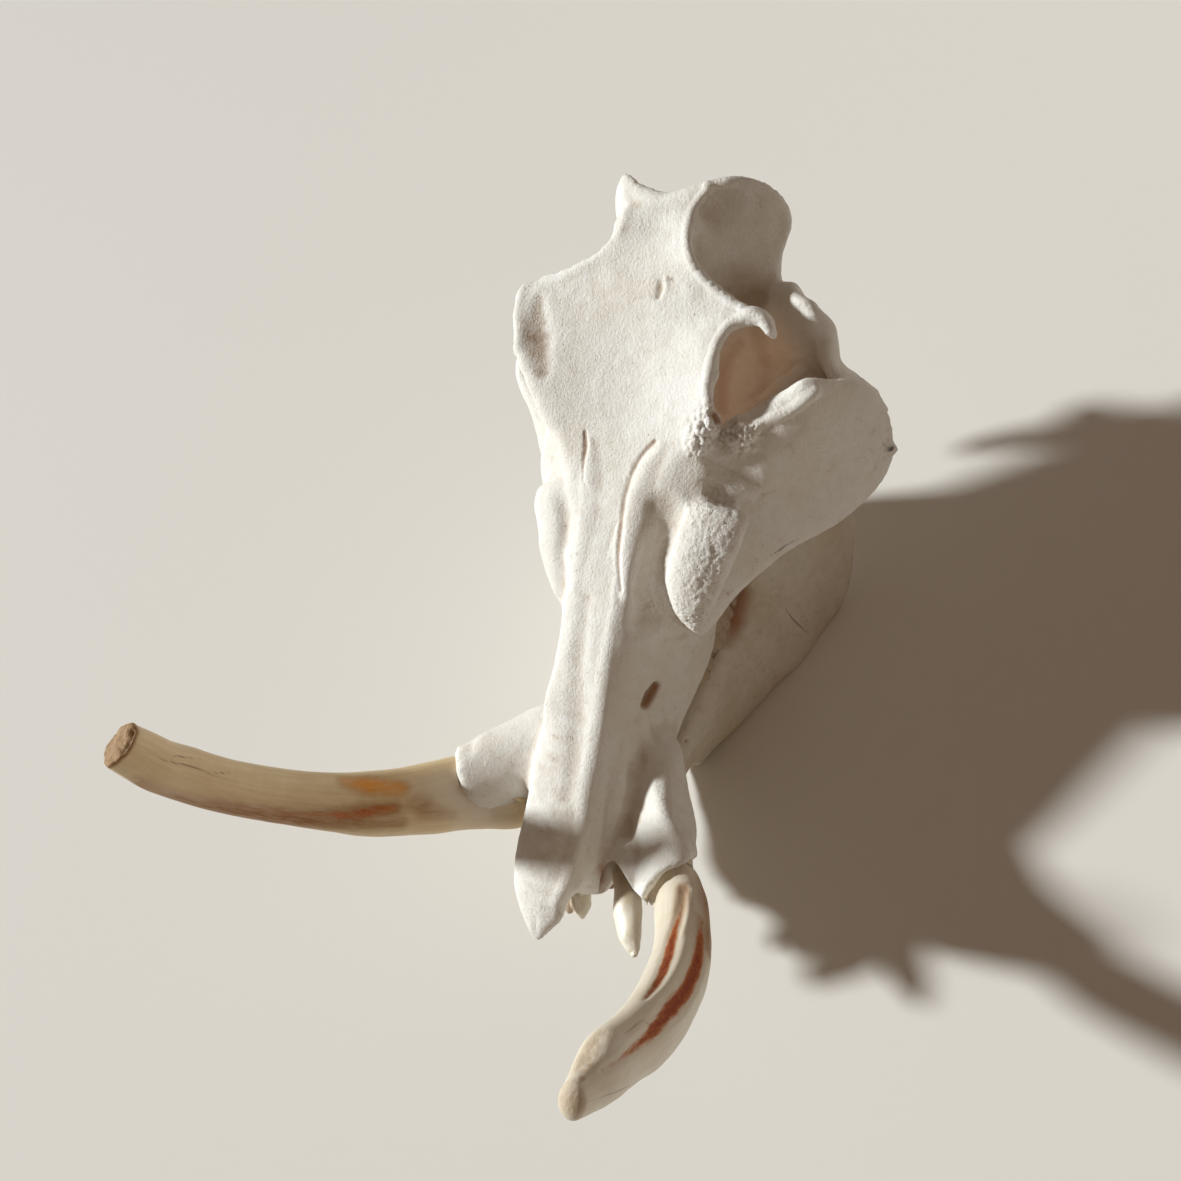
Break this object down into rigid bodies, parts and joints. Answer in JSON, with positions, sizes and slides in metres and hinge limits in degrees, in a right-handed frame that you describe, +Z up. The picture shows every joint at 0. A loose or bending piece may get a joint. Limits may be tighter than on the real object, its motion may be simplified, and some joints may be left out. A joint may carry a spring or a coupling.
{
  "type": "warthog skull",
  "caption": "Dried warthog skull: long cranium with flaring cheek arches and curved upper tusks, resting on its lower jaw; a natural history specimen for display.",
  "frame": {"origin": "middle of the bounding box seen from above, on the surface the lower jaw rests on", "axes": "+X to the animal's left, -Y towards the tip of the nose, +Z up"},
  "size_m": [0.2722, 0.3806, 0.2677],
  "materials": {
    "bone": "dry matt bone, bleached, with fine pores",
    "jaw_bone": "dry matt bone, a little browner than the cranium",
    "tusk_left": "semi-gloss ivory with orange-brown stain in its grooves",
    "tusk_right": "semi-gloss tan ivory with orange-brown stains",
    "teeth": "semi-gloss cream enamel"
  },
  "bodies": {
    "root": {"cranium": "bone", "mandible": "jaw_bone", "upper_tusk_left": "tusk_left", "upper_tusk_right": "tusk_right", "upper_molar_2_left": "teeth", "upper_molar_2_right": "teeth", "upper_molar_3_left": "teeth", "upper_molar_3_right": "teeth", "lower_molar_2_left": "teeth", "lower_molar_2_right": "teeth", "lower_molar_3_left": "teeth", "lower_molar_3_right": "teeth", "lower_canine_left": "teeth", "upper_incisor_left": "teeth", "upper_incisor_right": "teeth", "lower_incisor_1_left": "teeth", "lower_incisor_1_right": "teeth", "lower_incisor_2_left": "teeth", "lower_incisor_2_right": "teeth"}
  },
  "joints": []
}
